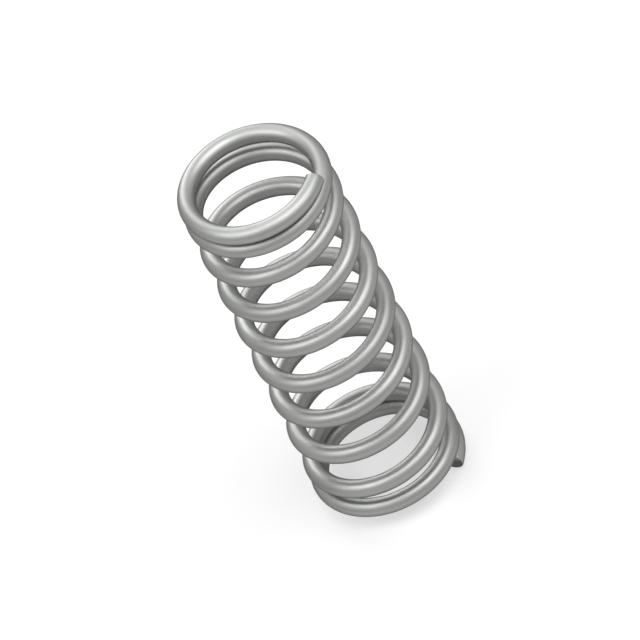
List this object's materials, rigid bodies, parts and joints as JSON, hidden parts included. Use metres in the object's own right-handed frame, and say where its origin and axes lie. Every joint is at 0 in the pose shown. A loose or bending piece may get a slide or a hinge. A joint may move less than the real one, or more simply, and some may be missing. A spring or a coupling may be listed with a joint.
{
  "type": "compression spring",
  "caption": "Small round-wire compression spring with closed, unground ends; pushes back along its axis when squeezed over a rod or in a hole.",
  "frame": {"origin": "on the coil's axis, at the level of the lowest point of the bottom turn", "axes": "+Z along the coil's axis towards the other end; both sheared wire ends lie on the +X side; the coil is right-handed about +Z"},
  "size_m": [0.0106, 0.0106, 0.0317],
  "materials": {
    "spring_wire": "bright drawn spring steel wire, satin"
  },
  "bodies": {
    "root": {"coil_spring": "spring_wire"}
  },
  "joints": []
}
